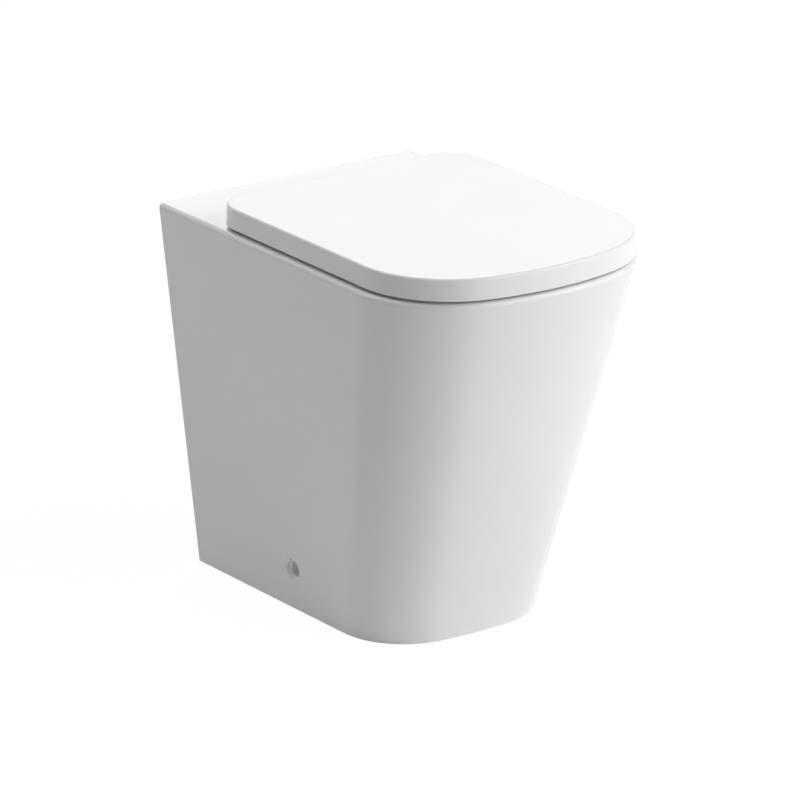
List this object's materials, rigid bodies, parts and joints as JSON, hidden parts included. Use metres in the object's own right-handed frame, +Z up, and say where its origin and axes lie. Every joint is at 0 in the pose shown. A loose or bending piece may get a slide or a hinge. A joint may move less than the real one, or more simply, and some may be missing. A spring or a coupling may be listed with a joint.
{
  "type": "back to wall toilet",
  "caption": "Floor-standing toilet pan with a tapered skirt that meets the wall, with a wrap-over lid and a seat ring on lift-off soft-close hinges, for a concealed cistern.",
  "frame": {"origin": "on the floor, under the middle of the pan's box, halfway between the front of the rim and the wall", "axes": "+X to the right as the pan is faced, +Y to the wall, +Z up"},
  "size_m": [0.3592, 0.524, 0.4785],
  "materials": {
    "ceramic": "white gloss glaze",
    "seat_white": "white gloss thermoset",
    "hinge_white": "white moulded plastic",
    "nylon": "natural moulded nylon",
    "rubber": "black moulded rubber",
    "steel": "stainless steel",
    "chrome": "polished chrome plate"
  },
  "bodies": {
    "pan": {"pan": "ceramic", "floor_bracket_left": "nylon", "floor_bracket_right": "nylon", "side_screw_left": "steel", "side_screw_right": "steel", "side_sleeve_left": "nylon", "side_sleeve_right": "nylon", "cover_cap_left": "hinge_white", "cover_cap_right": "hinge_white", "hinge_post_left": "steel", "hinge_post_right": "steel", "post_plate_left": "chrome", "post_plate_right": "chrome", "post_gasket_left": "rubber", "post_gasket_right": "rubber", "deck_sleeve_left": "rubber", "deck_sleeve_right": "rubber", "wing_nut_left": "nylon", "wing_nut_right": "nylon"},
    "hinges": {"hinge_block_left": "hinge_white", "hinge_block_right": "hinge_white", "damper_left": "nylon", "damper_right": "nylon", "latch_clip_left": "steel", "latch_clip_right": "steel"},
    "button_left": {"release_button_left": "nylon"},
    "button_right": {"release_button_right": "nylon"},
    "seat": {"seat": "seat_white", "seat_buffers": "nylon", "seat_rotor": "steel"},
    "lid": {"lid": "seat_white", "lid_buffers": "nylon", "lid_rotor": "steel"}
  },
  "joints": [
    {"name": "seat_release", "type": "slide", "parent": "pan", "child": "hinges", "axis": [0, 0, 1], "range_m": [0, 0.03], "deforming": ["latch_clip_left", "latch_clip_right"]},
    {"name": "seat_hinge", "type": "hinge", "parent": "hinges", "child": "seat", "pos_m": [0, 0.1506, 0.466], "axis": [-1, 0, 0], "range_deg": [0, 95]},
    {"name": "lid_hinge", "type": "hinge", "parent": "seat", "child": "lid", "pos_m": [0, 0.1506, 0.466], "axis": [1, 0, 0], "range_deg": [-95, 0]},
    {"name": "button_left", "type": "slide", "parent": "hinges", "child": "button_left", "axis": [-1, 0, 0], "range_m": [0, 0.0025], "stiffness_N_per_m": 1200},
    {"name": "button_right", "type": "slide", "parent": "hinges", "child": "button_right", "axis": [1, 0, 0], "range_m": [0, 0.0025], "stiffness_N_per_m": 1200}
  ]
}
